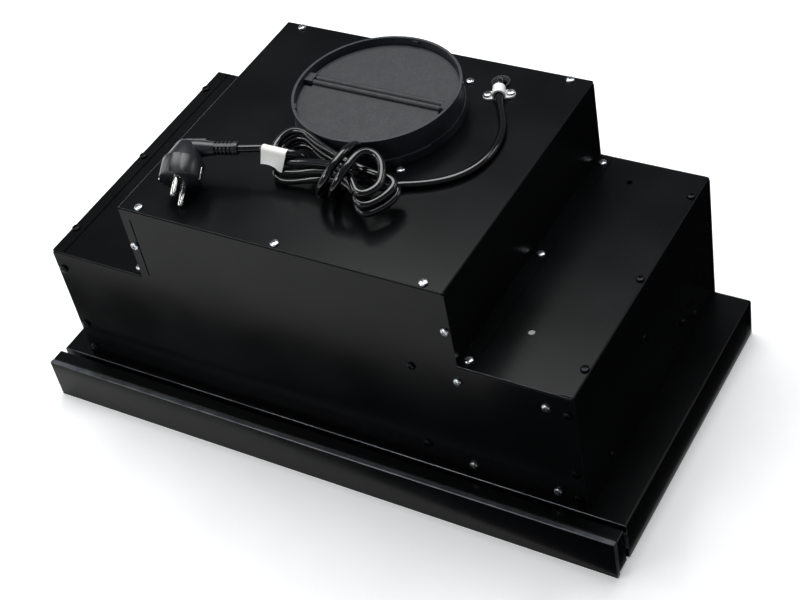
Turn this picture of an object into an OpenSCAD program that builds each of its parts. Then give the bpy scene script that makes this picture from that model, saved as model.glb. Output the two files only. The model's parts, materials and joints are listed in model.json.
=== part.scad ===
// Telescopic range hood for a 60 cm wall cabinet, in millimetres.
// Front of the hood faces -Y, +Z is up, origin on the ground below the middle of the casing.

/* [Casing] */
// Overall width, over the lower casing and the front plate
casing_w = 598; // [570:1:640]
// Overall depth, from the front plate to the back wall
casing_d = 308; // [300:1:340]
// Height of the lower casing
casing_h = 42; // [40:1:50]
// Step in from the lower casing's side to the upper body's
body_step = 35; // [30:0.5:38]
// Height of the shoulders beside the tower
shoulder_h = 181; // [176:1:200]
// Width of the tower
tower_w = 320; // [300:1:340]
// Height of the top of the tower
tower_h = 263; // [262:1:280]
// Thickness of the folded sheet steel
sheet = 1; // [0.8:0.1:1.4]
// Outside radius of the folded edges
bend_r = 2; // [1.6:0.1:3]
// Width of the folded joining flanges
flange = 14; // [12:0.5:16]
// Step from the lower casing's front edge back to the body
body_setback = 2; // [1:0.5:4]

/* [Front] */
// Thickness of the front plate
fascia_t = 5; // [3:0.5:8]
// Height of the front plate
fascia_h = 45; // [43:1:60]
// Depth of the hollow front beam
beam_d = 13.5; // [12:0.5:18]
// Gap between the beam and the lower casing when pushed in
beam_gap = 5.5; // [3:0.5:8]
// Height of the beam's lower edge
beam_z = 4; // [4:0.5:6]

/* [Pull-out tray] */
// How far the tray pulls out
tray_travel = 150; // [100:5:155]
// Depth of the tray behind the beam
tray_d = 170; // [165:1:175]
// Height of the tray's underside
tray_z = 2; // [1.5:0.5:3]
// Height of the tray's side walls
tray_h = 20; // [18:0.5:21]
// Gap that takes each pair of rails
rail_gap = 16; // [15:0.5:18]
// Height of the fixed rails
rail_h = 20; // [18:0.5:20]
// Length of the fixed rails
rail_l = 240; // [230:5:250]
// Length of the moving rails
rail_moving_l = 200; // [190:5:210]
// Running clearance of the rails
rail_play = 0.4; // [0.3:0.05:0.6]
// Outside radius of a lamp
lamp_r = 28; // [24:0.5:29]

/* [Duct collar] */
// Outside radius of the collar that the duct slides over
collar_r = 75.4; // [74:0.1:76]
// Wall of the collar
collar_wall = 2.4; // [2:0.1:3]
// Height of the collar above the tower
collar_h = 28.4; // [26:0.1:40]
// Distance of the collar's centre behind the middle of the casing
collar_y = 57; // [50:0.5:57.5]
// Thickness of one flap
flap_t = 1.4; // [1:0.1:1.5]
// Radius of the rods that the flaps swing on
rod_r = 1.5; // [1.2:0.1:1.6]
// Running clearance of a flap on its rod
rod_play = 0.06; // [0.04:0.01:0.1]

/* [Blower] */
// Radius of the wheel
wheel_r = 65; // [60:1:66]
// Length of the wheel
wheel_l = 110; // [90:2:114]
// Number of blades
blade_count = 36; // [24:2:40]
// Height of the wheel's axis
wheel_z = 140; // [139:1:150]
// Inside width of the scroll
scroll_w = 140; // [134:2:144]
// Thickness of the scroll's walls
scroll_wall = 1.2; // [1:0.1:1.6]
// Radius of each air inlet
inlet_r = 52; // [46:1:54]
// Radius of the motor
motor_r = 38; // [34:1:40]
// Radius of the motor's shaft
shaft_r = 4; // [3:0.5:5]

/* [Grease filters] */
// Thickness of a filter cassette
filter_t = 9; // [8:0.5:10]
// Width of the filters' frame bars
filter_bar = 12; // [11:0.5:15]
// Distance that a filter latch slides
latch_travel = 4; // [3.5:0.5:5]

/* [Controls] */
// Distance that the speed slider moves
speed_travel = 24; // [16:1:30]
// Distance that the light switch moves
light_travel = 10; // [6:1:12]

/* [Cable] */
// Diameter of the mains cable
cord_d = 7; // [6.5:0.1:7]
// Diameter of the round plug body
plug_d = 37.5; // [37:0.5:42]
// Length of the plug's pins
pin_len = 19; // [18:0.5:19]
// Diameter of the plug's pins
pin_d = 4.8; // [4:0.1:4.8]
// Distance between the two pins
pin_pitch = 19; // [18:0.5:19]

/* [Fasteners] */
// Radius of a pan screw head
head_r = 4; // [3:0.1:4.2]
// Height of a pan screw head
head_h = 2.4; // [1.5:0.1:2.6]
// Radius of a screw's shank
shank_r = 1.75; // [1.4:0.05:1.9]
// Length of a screw's shank
shank_l = 6; // [4:0.5:7]
// Radius of the fixing holes in the shoulders
fixing_r = 3; // [2.5:0.1:4]

/* [Hidden] */
$fn = 48;

// Colours
black_coat = "#2a2d30";
dark_plastic = "#25282c";
zinc = "#cdd0d2";
steel = "#a9adb0";
alloy = "#c3c6c8";
cable_black = "#17181a";

// Small values that cuts need to pass right through
cut = 0.5;
// Ease between parts that are pushed together
ease = 0.3;

// Main planes
front_y = -casing_d / 2;
back_y = casing_d / 2;
beam_y = front_y + fascia_t;
tray_y = beam_y + beam_d;
slab_y = tray_y + beam_gap;
body_y = slab_y + body_setback;
half_w = casing_w / 2;
half_body = half_w - body_step;
half_tower = tower_w / 2;

// Lower casing
base_lip = 15;
front_lip = 10;
body_rim = 16;
ledge_z = 26;
ledge_lip = 6;
ledge_x = half_body - 1;
ledge_front = body_y + 8;
ledge_back = back_y - 15;
divider_lip = 8;

// Screw places, as x and y on top or x and z on the front
top_edge = 5;
top_screw_inset = 20;
top_screw_x = half_tower - top_screw_inset;
top_screw_at = [[-top_screw_x, body_y + top_edge], [0, body_y + top_edge],
    [top_screw_x, body_y + top_edge], [-top_screw_x, back_y - top_edge],
    [top_screw_x, back_y - top_edge]];
collar_screw_dx = 55;
collar_screw_dy = 64;
collar_screw_at = [for (sx = [-1, 1], sy = [-1, 1])
    [sx * collar_screw_dx, collar_y + sy * collar_screw_dy]];
cover_flange = 12.5;
cover_screw_x = half_tower + 7;
cover_screw_front = 8;
cover_screw_back = 12.5;
mid_screw_y = 14;
cover_screw_y = [body_y + cover_screw_front, mid_screw_y, back_y - cover_screw_back];
tower_screw_drop = 44;
tower_screw_z = tower_h - tower_screw_drop;
tower_screw_x = half_tower - 5;
strip_w = 13;
strip_screw_x = half_body - 5;
strip_screw_front = 32;
strip_screw_back = 30;
strip_screw_y = [body_y + strip_screw_front, mid_screw_y, back_y - strip_screw_back];
edge_screw_x = half_body - 7;
edge_screw_low = 15;
edge_screw_mid = 46;
edge_screw_drop = 21;
edge_screw_z = [casing_h + edge_screw_low, casing_h + edge_screw_mid,
    shoulder_h - edge_screw_drop];
inner_screw_x = 114.5;
inner_screw_low = 27;
inner_screw_drop = 16;
inner_screw_at = [[inner_screw_x, casing_h + inner_screw_low],
    [inner_screw_x, shoulder_h - inner_screw_drop]];
// Side screws, as y and the height above the lower casing
side_screw_at = [[-77.5, 18.5], [-0.5, 84.5], [78.5, 30], [104, 17]];

// Control box behind the front panel
box_w = 96;
box_side = 18;
box_x = half_body - box_side - box_w;
box_d = 40;
box_z = 50;
box_h = 120;
box_wall = 2;
box_inset = 8;
box_screw_at = [for (x = [box_x + box_inset, box_x + box_w - box_inset],
    z = [box_z + box_inset, box_z + box_h - box_inset]) [x, z]];

// Fixing holes in the shoulders
fixing_inset = 64;
fixing_x = half_body - fixing_inset;
fixing_front = 56;
fixing_back = 28;
fixing_y = [body_y + fixing_front, back_y - fixing_back];

// Duct collar and flaps
collar_bore = collar_r - collar_wall;
collar_plate_t = 2.5;
collar_z = tower_h - sheet;
collar_plate_w = 150;
collar_corner = 9;
collar_root_step = 0.7;
collar_root_r = collar_r + collar_root_step;
collar_hole_r = collar_root_r + 0.3;
band_w = 2.4;
band_h = 8;
band_start = -62;
band_turn = 36;
ledge_r = collar_bore - 3;
rod_dy = 3;
rod_z = tower_h + 22;
barrel_r = rod_r + 1.1;
barrel_l = 128;
boss_x = 64.8;
boss_l = 12;
boss_d = 11;
boss_h = 6;
flap_r = collar_bore - 1.5;
flap_z = rod_z - barrel_r + 0.2;
flap_notch_x = boss_x - 0.8;
flap_notch_d = 8.5;
stop_t = 1.5;
pad_t = 1.2;
pad_angles = [88, 214];

// Cable entry
entry_back = 26;
grommet_at = [82.5, back_y - entry_back];
grommet_hole_r = 7.5;
grommet_lip_r = 8.5;
grommet_bore_r = 4.7;
grommet_lip_h = 2;
clamp_offset = [7.2, -17.7];
clamp_at = grommet_at + clamp_offset;
clamp_turn = 25;
clamp_w = 29;
clamp_d = 11;
clamp_foot_t = 2;
clamp_play = 0.6;
clamp_bore_r = cord_d / 2 + clamp_play;
clamp_arch_r = clamp_bore_r + 1.8;
clamp_axis_z = clamp_bore_r + 0.5;
clamp_screw_dx = 10.2;

// Blower
wheel_y = 20;
scroll_start_r = wheel_r + 9;
scroll_end_r = 105;
scroll_start_a = 116.5;
scroll_steps = 30;
scroll_top = collar_z - collar_plate_t;
neck_l = 8;
neck_t = 1.2;
bracket_t = 2;
bracket_arm_w = 12;
bracket_reach = inlet_r + 10;
motor_l = 62;
end_ring_w = 5;
end_ring_t = 2;
blade_t = 0.8;
blade_w = 9;
blade_turn = 35;
disc_t = 1.5;
hub_r = 10;

// Tray, rails and lamps
tray_half = half_w - sheet - rail_gap;
rail_t = 1.2;
rail_lip = 3;
rail_z = 5;
rail_y = slab_y + 5;
rail_foot = 10.5;
tray_wall = 1;
tray_border = 30;
tray_border_back = 25;
tray_wing = 137;
tray_window_x = tray_half - tray_wing;
tray_window_y = [tray_y + tray_border, tray_y + tray_d - tray_border_back];
tray_filter_margin = 7;
tray_filter_h = 6;
lamp_side = 67;
lamp_setback = 36;
lamp_x = tray_half - lamp_side;
lamp_y = tray_y + lamp_setback;
lamp_flange = 3;
lamp_cup_h = 16;
lamp_wall = 1.2;
lens_t = 1.5;

// Grease filters
filter_x0 = 4;
filter_x1 = ledge_x - 1.5;
filter_y0 = ledge_front + sheet + 1;
filter_y1 = ledge_back - 1;
filter_z = ledge_z + sheet;
mesh_t = 1.5;
mesh_z = 4;
slot_gap = 3;
latch_w = 24;
latch_d = 12;
latch_t = 3.2;
latch_play = 0.4;
latch_reach = 3;
latch_tab_t = 2;
latch_tab_h = 1.7;
latch_wall = 4;

// Controls under the beam
plate_t = 1.5;
control_side = 24;
control_l = 135;
control_x1 = half_w - control_side;
control_x0 = control_x1 - control_l;
speed_from_end = 25;
light_from_end = 95;
speed_x = control_x0 + speed_from_end;
light_x = control_x0 + light_from_end;
knob_w = 10;
knob_d = 8;
knob_z = 1;
stem_d = 3;
stem_play = 0.3;
foot_t = 2.5;

// Switch behind the tray
switch_bracket_x = ledge_x + 3;
switch_w = 10;
switch_d = 20;
switch_h = 12;
switch_z = 8;
switch_gap = 3.3;
plunger_r = 1.5;
plunger_l = 9;
plunger_play = 0.05;
plunger_travel = 2;
switch_y = tray_y + tray_d + switch_gap;

// Plug, lying on its rim and its lower pin on the tower top
plug_r = plug_d / 2;
plug_face = [-107.8, -98];
plug_yaw = 18;
plug_tilt = atan((plug_r - pin_pitch / 2 - pin_d / 2) / pin_len);
plug_rim_h = 19;
plug_neck = 32.5;
relief_end = 46.4;
relief_start = 23;
relief_r = 6;
relief_tip_r = 5.6;
relief_slots = 5;
grip_x = -7;
grip_l = 24;
clip_w = 8;
clip_l = 12;
clip_t = 1.2;

// Blank flag label: wrapped round the cable, its flag hanging down in front
label_at = [-38, -47.4, 291.7];
label_wrap = [-44.5, -32];
label_ease = 0.3;
label_lean = 22;
label_t = 0.5;
label_corners = [[-52, -15.5], [-40.5, -13.6], [-32, -17.6], [-29, -8.5],
    [-27, 0], [-38.5, 0.5], [-51.5, 0]];

// Cable route: out of its entry and through the clamp, seen from the middle of the bush
entry_points = [[0, 1, -19], [0, 1, -13], [0, 1, -7], [0.1, 0.6, -1], [0.9, -2.6, 5],
    [2.9, -8.4, 6.4], [5.1, -13.2, 4.6], [7.2, -17.7, 4.6], [9.3, -22.2, 4.5]];
// Then round the collar to the knot, level with the entry at the first point
round_points = [[97, 96, 266.8], [104, 86, 266.6], [113, 72, 266.6], [119.5, 55, 266.6],
    [121.5, 38, 266.6], [120, 22, 266.6], [115.5, 8, 266.6], [107, -4, 266.6],
    [95.5, -14, 266.6], [83, -21, 266.6], [71, -26, 266.6], [60, -29, 266.6],
    [48, -33, 266.6], [37, -38, 266.6]];
round_run = 80;
entry_gap = 32;
entry_shift = grommet_at.y - entry_gap - round_points[0].y;
lead_points = concat(
    [for (p = entry_points) [grommet_at.x + p.x, grommet_at.y + p.y, tower_h + p.z]],
    [for (p = round_points) let (part = (p.y - round_points[0].y + round_run) / round_run)
        [p.x, p.y + entry_shift * ramp(part), p.z]]);
// Out of the knot again, through the label and straight into the plug's strain relief
tail_points = [[18, -47.4, 271], [10, -47.4, 275], [2, -47.4, 279], [-6, -47.4, 283],
    [-14, -47.4, 287], [-22, -47.4, 290.5], [-30, -47.4, 291.7], [-38, -47.4, 291.7],
    [-46, -47.4, 291.7], [-54, -47.4, 291.7], [-62.6, -51.2, 291.7], [-73, -54.6, 291.7], [-83.5, -58, 291.7]];

// Knot: outline round its two sides, clear of the collar, and its steps from left to right with
// their heights
knot_left = [-36, -33];
knot_left_r = 17;
knot_right = [54, -49];
knot_right_r = 24;
knot_ease = 0.3;
knot_collar_gap = 5;
knot_steps = [[-60, 80, 21], [8, 80, 28], [15, 47, 38]];

// Smooth step from 0 to 1
function ramp(a) = a < 0 ? 0 : a > 1 ? 1 : a * a * (3 - 2 * a);

// Both free stretches as control points, of which the knot takes the inner ends
route = concat(lead_points, tail_points);
knot_in = len(lead_points) - 5;
knot_inside = len(lead_points) - 2;
tail_inside = len(lead_points) + 1;
knot_out = tail_inside + 4;
route_last = len(route) - 2;

// Point on the smooth curve between control points i and i + 1
function curve_at(i, f) = (pow(1 - f, 3) * route[i - 1]
    + (3 * pow(f, 3) - 6 * f * f + 4) * route[i]
    + (-3 * pow(f, 3) + 3 * f * f + 3 * f + 1) * route[i + 1]
    + (i + 2 < len(route) ? pow(f, 3) * route[i + 2] : [0, 0, 0])) / 6;
function curve(first, last, steps) = concat(
    [for (i = [first:last - 1], j = [0:steps - 1]) curve_at(i, j / steps)],
    [curve_at(last, 0)]);
function unit(v) = v / norm(v);

// Direction of the curve at the same places
function slope_at(i, f) = -pow(1 - f, 2) * route[i - 1] + (3 * f * f - 4 * f) * route[i]
    + (-3 * f * f + 2 * f + 1) * route[i + 1]
    + (i + 2 < len(route) ? f * f * route[i + 2] : [0, 0, 0]);
function slopes(first, last, steps) = concat(
    [for (i = [first:last - 1], j = [0:steps - 1]) unit(slope_at(i, j / steps))],
    [unit(slope_at(last, 0))]);

// Sections and small shared shapes
// Outline of a folded sheet's outside: a box with its two upper corners bent round
module bent_outline(w, h, r) {
    translate([-w / 2, 0]) square([w, h - r]);
    translate([-w / 2 + r, 0]) square([w - 2 * r, h]);
    for (s = [-1, 1]) translate([s * (w / 2 - r), h - r]) circle(r);
}

// Section of a sheet folded down on both sides
module channel_section(w, h) {
    difference() {
        bent_outline(w, h, bend_r);
        translate([0, -cut]) bent_outline(w - 2 * sheet, h - sheet + cut, bend_r - sheet);
    }
}

// Outline of a box with one bent corner at its upper left
module bent_corner(d, h, r) {
    square([d, h - r]);
    translate([r, 0]) square([d - r, h]);
    translate([r, h - r]) circle(r);
}

// Section of an upright sheet with a flange folded over at its top
module angle_section(d, h) {
    difference() {
        bent_corner(d, h, bend_r);
        translate([sheet, -cut]) bent_corner(d, h - sheet + cut, bend_r - sheet);
    }
}

// Block between two corners
module block(low, high) {
    translate(low) cube(high - low);
}

// Section in X and Z, run along Y
module along_y(y0, y1) {
    translate([0, y1, 0]) rotate([90, 0, 0]) linear_extrude(y1 - y0) children();
}

// Section in Y and Z, run along X
module along_x(x0, x1) {
    translate([x0, 0, 0]) rotate([90, 0, 90]) linear_extrude(x1 - x0) children();
}

module ring(r_out, r_in, h) {
    difference() {
        cylinder(h = h, r = r_out);
        translate([0, 0, -cut]) cylinder(h = h + 2 * cut, r = r_in);
    }
}

// Both sides of a piece that is the same on the left and the right
module both_sides() {
    children();
    mirror([1, 0, 0]) children();
}

// Pan head screw with a cross recess, its seat at z = 0
module pan_screw() {
    recess = head_r * 1.1;
    slot_w = head_r * 0.28;
    difference() {
        union() {
            cylinder(h = head_h * 0.45, r = head_r, $fn = 24);
            translate([0, 0, head_h * 0.45])
                cylinder(h = head_h * 0.55, r1 = head_r, r2 = head_r * 0.72, $fn = 24);
        }
        for (a = [0, 90]) rotate(a)
            translate([-recess / 2, -slot_w / 2, head_h * 0.5]) cube([recess, slot_w, head_h]);
    }
    translate([0, 0, -shank_l]) cylinder(h = shank_l + cut / 5, r = shank_r, $fn = 24);
}

// Hole for a screw's shank
module shank_hole() {
    translate([0, 0, -shank_l - cut])
        cylinder(h = shank_l + 2 * cut, r = shank_r + 0.1, $fn = 24);
}

// Where each group of screws stands
module at_top() {
    for (p = top_screw_at) translate([p.x, p.y, tower_h]) children();
}
module at_collar() {
    for (p = collar_screw_at) translate([p.x, p.y, tower_h]) children();
}
module at_cover() {
    for (s = [-1, 1], y = cover_screw_y)
        translate([s * cover_screw_x, y, shoulder_h + sheet]) children();
}
module at_strips() {
    for (s = [-1, 1], y = strip_screw_y)
        translate([s * strip_screw_x, y, shoulder_h + sheet]) children();
}
module on_front(list) {
    for (p = list) translate([p.x, body_y, p.y]) rotate([90, 0, 0]) children();
}
module at_tower_front() {
    on_front([for (s = [-1, 1]) [s * tower_screw_x, tower_screw_z]]) children();
}
module at_box() {
    on_front(box_screw_at) children();
}
module at_front_edges() {
    on_front([for (s = [-1, 1], z = edge_screw_z) [s * edge_screw_x, z]]) children();
}
module at_inner_front() {
    on_front(inner_screw_at) children();
}
module at_sides() {
    for (s = [-1, 1], p = side_screw_at)
        translate([s * half_body, p.x, casing_h + p.y]) rotate([0, s * 90, 0]) children();
}

// Lower casing: folded top and sides, back wall, front lip, bottom flanges, switch bracket
module base_frame() {
    color(black_coat) {
        difference() {
            union() {
                along_y(slab_y, back_y) channel_section(casing_w, casing_h);
                along_y(back_y - sheet, back_y) bent_outline(casing_w, casing_h, bend_r);
                along_y(slab_y, slab_y + sheet) intersection() {
                    bent_outline(casing_w, casing_h, bend_r);
                    translate([-half_w, casing_h - front_lip]) square([casing_w, front_lip]);
                }
                for (s = [0, 1]) mirror([s, 0, 0])
                    block([half_w - base_lip, slab_y, 0], [half_w - sheet / 2, back_y, sheet]);
                block([-half_w + base_lip, back_y - base_lip, 0],
                    [half_w - base_lip, back_y - sheet / 2, sheet]);
            }
            block([-half_body + body_rim, body_y + body_rim, casing_h - sheet - cut],
                [half_body - body_rim, back_y - body_rim, casing_h + cut]);
        }
        block([switch_bracket_x, switch_y, switch_z],
            [switch_bracket_x + sheet, switch_y + switch_d, casing_h - sheet / 2]);
    }
}

// Ledges under the lower casing's top that carry the two grease filters
module filter_ledges() {
    top = casing_h - sheet;
    color(black_coat) difference() {
        union() {
            both_sides() {
                block([ledge_x, ledge_front, ledge_z], [ledge_x + sheet, ledge_back + sheet, top]);
                block([ledge_x - ledge_lip, ledge_front, ledge_z],
                    [ledge_x, ledge_back + sheet, ledge_z + sheet]);
            }
            block([-ledge_x, ledge_front, ledge_z], [ledge_x, ledge_front + sheet, top]);
            block([-ledge_x, ledge_back, ledge_z], [ledge_x, ledge_back + sheet, top]);
            block([-ledge_x, ledge_back - ledge_lip, ledge_z],
                [ledge_x, ledge_back, ledge_z + sheet]);
            block([-divider_lip, ledge_front, ledge_z],
                [divider_lip, ledge_back, ledge_z + sheet]);
            block([-sheet / 2, ledge_front, ledge_z], [sheet / 2, ledge_back, top]);
            for (y = [ledge_front, ledge_back - body_rim])
                block([-divider_lip, y, top - sheet], [divider_lip, y + body_rim, top]);
        }
        both_sides() translate([latch_x - latch_w / 2 - 1, ledge_front - cut, filter_z])
            cube([latch_w + 2, sheet + 2 * cut, latch_t + 2 * latch_play]);
    }
}

// T-shaped end panel with folded top flanges and a bottom flange
module end_panel() {
    relief = bend_r + 0.5;
    tower_top = tower_h - sheet;
    wing_top = shoulder_h - sheet;
    block([-half_body, 0, casing_h], [half_body, sheet, wing_top - bend_r]);
    block([-half_tower, 0, casing_h], [half_tower, sheet, tower_top - bend_r]);
    translate([0, 0, casing_h]) along_x(-half_tower + relief, half_tower - relief)
        angle_section(flange, tower_top - casing_h);
    both_sides() translate([0, 0, casing_h])
        along_x(half_tower + 0.5, half_body - relief)
            angle_section(flange, wing_top - casing_h);
    block([-half_body + flange + 2 * sheet, 0, casing_h],
        [half_body - flange - 2 * sheet, flange, casing_h + sheet]);
}

// Front panel, with a narrow slot beside the tower's left edge
module front_panel() {
    slot_w = 1.5;
    slot_x = half_tower - 8.5 - slot_w;
    color(black_coat) difference() {
        translate([0, body_y, 0]) end_panel();
        block([-slot_x - slot_w, body_y - cut, shoulder_h + 3],
            [-slot_x, body_y + sheet + cut, tower_h - 13]);
        at_top() shank_hole();
        at_cover() shank_hole();
        at_tower_front() shank_hole();
        at_box() shank_hole();
        at_front_edges() shank_hole();
        at_inner_front() shank_hole();
    }
}

module rear_panel() {
    color(black_coat) difference() {
        translate([0, back_y, 0]) mirror([0, 1, 0]) end_panel();
        at_top() shank_hole();
        at_cover() shank_hole();
    }
}

// Side of the upper body, its top folded in over the shoulder
module side_panel() {
    inner = half_body - sheet;
    y0 = body_y + sheet;
    y1 = back_y - sheet;
    flange_top = shoulder_h - 3 * sheet;
    color(black_coat) difference() {
        union() {
            along_y(y0, y1) translate([half_body, casing_h]) mirror([1, 0])
                angle_section(strip_w, shoulder_h + sheet - casing_h);
            for (y = [y0, y1 - sheet]) block([half_body - flange, y, casing_h + sheet],
                [inner + sheet / 2, y + sheet, flange_top]);
            block([half_body - flange, y0 + flange + 1, casing_h],
                [inner + sheet / 2, y1 - flange - 1, casing_h + sheet]);
        }
        at_strips() shank_hole();
        at_front_edges() shank_hole();
        at_sides() shank_hole();
    }
}

module side_panel_right() {
    side_panel();
}

module side_panel_left() {
    mirror([1, 0, 0]) side_panel();
}

// Shoulder beside the tower, with two fixing holes
module shoulder_plate() {
    color(black_coat) difference() {
        block([half_tower, body_y, shoulder_h - sheet],
            [half_body - bend_r, back_y, shoulder_h]);
        for (y = fixing_y) translate([fixing_x, y, shoulder_h - sheet - cut])
            cylinder(h = sheet + 2 * cut, r = fixing_r);
        at_cover() shank_hole();
        at_strips() shank_hole();
    }
}

module shoulder_plate_right() {
    shoulder_plate();
}

module shoulder_plate_left() {
    mirror([1, 0, 0]) shoulder_plate();
}

// Tower: folded top and sides, flanges turned out on the shoulders, tabs behind the ends
module tower_cover() {
    tab_h = 40;
    y0 = body_y + sheet;
    y1 = back_y - sheet;
    color(black_coat) difference() {
        union() {
            along_y(y0, y1) translate([0, shoulder_h])
                channel_section(tower_w, tower_h - shoulder_h);
            along_y(body_y, back_y) intersection() {
                translate([0, shoulder_h]) bent_outline(tower_w, tower_h - shoulder_h, bend_r);
                translate([-half_tower, tower_h - sheet]) square([tower_w, sheet]);
            }
            both_sides() {
                cover_flange_strip(y0, y1);
                for (y = [y0, y1 - sheet])
                    block([half_tower - flange, y, tower_screw_z - tab_h / 2],
                        [half_tower - sheet / 2, y + sheet, tower_screw_z + tab_h / 2]);
            }
        }
        translate([0, collar_y, tower_h - sheet - cut])
            cylinder(h = sheet + 2 * cut, r = collar_hole_r, $fn = 96);
        translate([grommet_at.x, grommet_at.y, tower_h - sheet - cut])
            cylinder(h = sheet + 2 * cut, r = grommet_hole_r);
        for (s = [-1, 1]) translate(clamp_screw_at(s)) shank_hole();
        at_top() shank_hole();
        at_collar() shank_hole();
        at_cover() shank_hole();
        at_tower_front() shank_hole();
    }
}

// Flange on the shoulder, with rounded corners at both ends
module cover_flange_strip(y0, y1) {
    corner = 5;
    translate([0, 0, shoulder_h]) linear_extrude(sheet) {
        translate([half_tower - sheet / 2, y0]) square([cover_flange - corner + sheet / 2, y1 - y0]);
        translate([half_tower, y0 + corner]) square([cover_flange, y1 - y0 - 2 * corner]);
        for (y = [y0 + corner, y1 - corner])
            translate([half_tower + cover_flange - corner, y]) circle(corner);
    }
}

// Plate under the tower top that carries the duct collar
module collar_plate() {
    w = collar_plate_w / 2;
    c = w - collar_corner;
    color(dark_plastic) difference() {
        translate([0, collar_y, collar_z - collar_plate_t]) linear_extrude(collar_plate_t)
            polygon([[-w, -c], [-c, -w], [c, -w], [w, -c], [w, c], [c, w], [-c, w], [-w, c]]);
        translate([0, collar_y, collar_z - collar_plate_t - cut])
            cylinder(h = collar_plate_t + 2 * cut, r = collar_bore, $fn = 96);
        at_collar() shank_hole();
    }
}

// Duct collar: upright ring, stepped bands, inner ledge, rod bosses and stop pads
module duct_collar() {
    color(dark_plastic) translate([0, collar_y, 0]) {
        translate([0, 0, collar_z])
            ring(collar_root_r, collar_bore, tower_h + band_h - collar_z, $fn = 96);
        translate([0, 0, tower_h])
            ring(collar_r, collar_bore, collar_h, $fn = 96);
        for (half = [0, 0.5]) rotate(band_start + 360 * half)
            translate([0, 0, tower_h]) rotate_extrude(angle = band_turn, $fn = 96)
                translate([collar_r - 1, 0]) square([band_w + 1, band_h]);
        translate([0, 0, flap_z - ease - stop_t]) ring(collar_bore + 1, ledge_r, stop_t, $fn = 96);
        for (s = [-1, 1]) rod_boss(s);
        for (a = pad_angles) rotate(a) translate([0, 0, rod_z + 2])
            rotate_extrude(angle = 5, $fn = 96)
                translate([collar_bore - pad_t, 0]) square([pad_t + 1, 3]);
    }
}

// Boss on the collar's inner wall that holds one end of both rods
module rod_boss(s) {
    difference() {
        intersection() {
            translate([s > 0 ? boss_x : -boss_x - boss_l, -boss_d / 2, rod_z - boss_h / 2])
                cube([boss_l, boss_d, boss_h]);
            cylinder(h = 2 * tower_h, r = collar_bore + 1, $fn = 96);
        }
        for (y = [-rod_dy, rod_dy]) translate([-collar_bore, y, rod_z]) rotate([0, 90, 0])
            cylinder(h = 2 * collar_bore, r = rod_r + 0.02);
    }
}

// Half-round flap with a barrel along its straight edge, lying on the -Y side
module flap() {
    edge = rod_r + 0.3;
    color("#3b3f42") translate([0, collar_y, 0]) {
        translate([0, 0, flap_z]) linear_extrude(flap_t) difference() {
            circle(flap_r, $fn = 96);
            translate([-flap_r - 1, -rod_dy - edge]) square([2 * flap_r + 2, 2 * flap_r]);
            for (s = [0, 1]) mirror([s, 0]) translate([flap_notch_x, -flap_notch_d])
                square([flap_r, flap_notch_d]);
        }
        translate([-barrel_l / 2, -rod_dy, rod_z]) rotate([0, 90, 0])
            ring(barrel_r, rod_r + rod_play, barrel_l);
    }
}

module flap_front() {
    flap();
}

module flap_rear() {
    translate([0, 2 * collar_y, 0]) mirror([0, 1, 0]) flap();
}

// Two steel rods across the collar
module flap_rods() {
    reach = collar_bore - 1;
    color(steel) for (y = [-rod_dy, rod_dy])
        translate([-reach, collar_y + y, rod_z]) rotate([0, 90, 0])
            cylinder(h = 2 * reach, r = rod_r);
}

// Rubber bush where the cable comes out of the tower
module cable_grommet() {
    below = 2;
    neck = grommet_hole_r - 0.05;
    color(cable_black) translate([grommet_at.x, grommet_at.y, 0]) difference() {
        union() {
            translate([0, 0, tower_h - sheet - below]) cylinder(h = below, r = grommet_lip_r);
            translate([0, 0, tower_h - sheet - cut]) cylinder(h = sheet + 2 * cut, r = neck);
            translate([0, 0, tower_h])
                cylinder(h = grommet_lip_h, r1 = grommet_lip_r + 0.5, r2 = grommet_lip_r);
        }
        translate([0, 0, tower_h - 8]) cylinder(h = 20, r = grommet_bore_r);
        translate([0, 0, tower_h - 0.5])
            cylinder(h = grommet_lip_h + 1, r1 = grommet_bore_r, r2 = grommet_lip_r - 0.6);
    }
}

// Place of a clamp screw's seat, on top of the clamp's feet
function clamp_screw_at(s) = [clamp_at.x + s * clamp_screw_dx * cos(clamp_turn),
    clamp_at.y + s * clamp_screw_dx * sin(clamp_turn), tower_h + clamp_foot_t];

// Saddle that holds the cable down
module cable_clamp() {
    foot = clamp_w / 2 - clamp_d / 2;
    color("#e6e6e2") difference() {
        translate([clamp_at.x, clamp_at.y, tower_h]) rotate(clamp_turn) difference() {
            union() {
                linear_extrude(clamp_foot_t) {
                    square([2 * foot, clamp_d], center = true);
                    for (s = [-1, 1]) translate([s * foot, 0]) circle(clamp_d / 2);
                }
                translate([0, 0, clamp_axis_z]) rotate([90, 0, 0])
                    cylinder(h = clamp_d, r = clamp_arch_r, center = true);
            }
            translate([0, 0, clamp_axis_z]) rotate([90, 0, 0])
                cylinder(h = 3 * clamp_d, r = clamp_bore_r, center = true);
            translate([-clamp_w, -clamp_d, -2 * clamp_arch_r])
                cube([2 * clamp_w, 2 * clamp_d, 2 * clamp_arch_r]);
            translate([-clamp_bore_r, -clamp_d, -cut])
                cube([2 * clamp_bore_r, 2 * clamp_d, clamp_axis_z + cut]);
        }
        for (s = [-1, 1]) translate(clamp_screw_at(s)) shank_hole();
    }
}

module clamp_screws() {
    color(zinc) for (s = [-1, 1]) translate(clamp_screw_at(s)) pan_screw();
}

module top_screws() {
    color(zinc) {
        at_top() pan_screw();
        at_collar() pan_screw();
    }
}

module front_screws() {
    color(zinc) {
        at_tower_front() pan_screw();
        at_box() pan_screw();
    }
}

module shoulder_screws() {
    color(zinc) at_cover() pan_screw();
}

module black_screws() {
    color(cable_black) {
        at_strips() pan_screw();
        at_front_edges() pan_screw();
        at_inner_front() pan_screw();
        at_sides() pan_screw();
    }
}

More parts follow.
